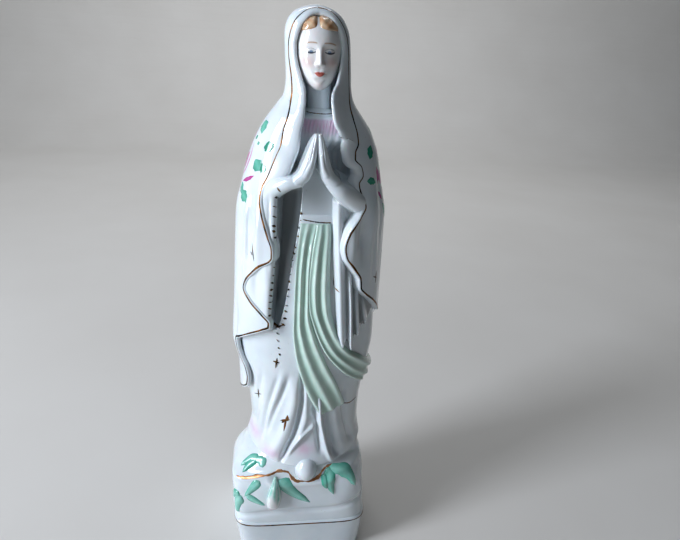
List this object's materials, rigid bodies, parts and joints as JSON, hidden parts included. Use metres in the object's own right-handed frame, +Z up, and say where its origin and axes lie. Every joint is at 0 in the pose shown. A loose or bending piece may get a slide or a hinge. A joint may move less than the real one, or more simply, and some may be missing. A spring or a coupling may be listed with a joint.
{
  "type": "madonna statue",
  "caption": "Standing praying Lady in glazed porcelain, in a long cloak with gilded edges and a green sash, on a rock with leaves and a square plinth.",
  "frame": {"origin": "middle of the underside, where the foot ring rests", "axes": "+Z up, the figure faces -Y, its left hand is on +X"},
  "size_m": [0.0809, 0.0676, 0.305],
  "materials": {
    "white_glaze": "gloss",
    "green_glaze": "gloss",
    "leaf_glaze": "gloss",
    "hair_glaze": "gloss",
    "gilding": "gloss"
  },
  "bodies": {
    "root": {"plinth": "white_glaze", "rock_mound": "white_glaze", "gown_skirt": "white_glaze", "gown_bodice": "white_glaze", "mantle": "white_glaze", "hood": "white_glaze", "head": "white_glaze", "hair": "hair_glaze", "collar_band": "white_glaze", "right_sleeve": "white_glaze", "left_sleeve": "white_glaze", "right_hand": "white_glaze", "left_hand": "white_glaze", "sash_band": "white_glaze", "sash_near_tail": "green_glaze", "sash_far_tail": "green_glaze", "shoe": "white_glaze", "leaf_sprigs": "leaf_glaze", "rose_bud": "white_glaze"}
  },
  "joints": []
}
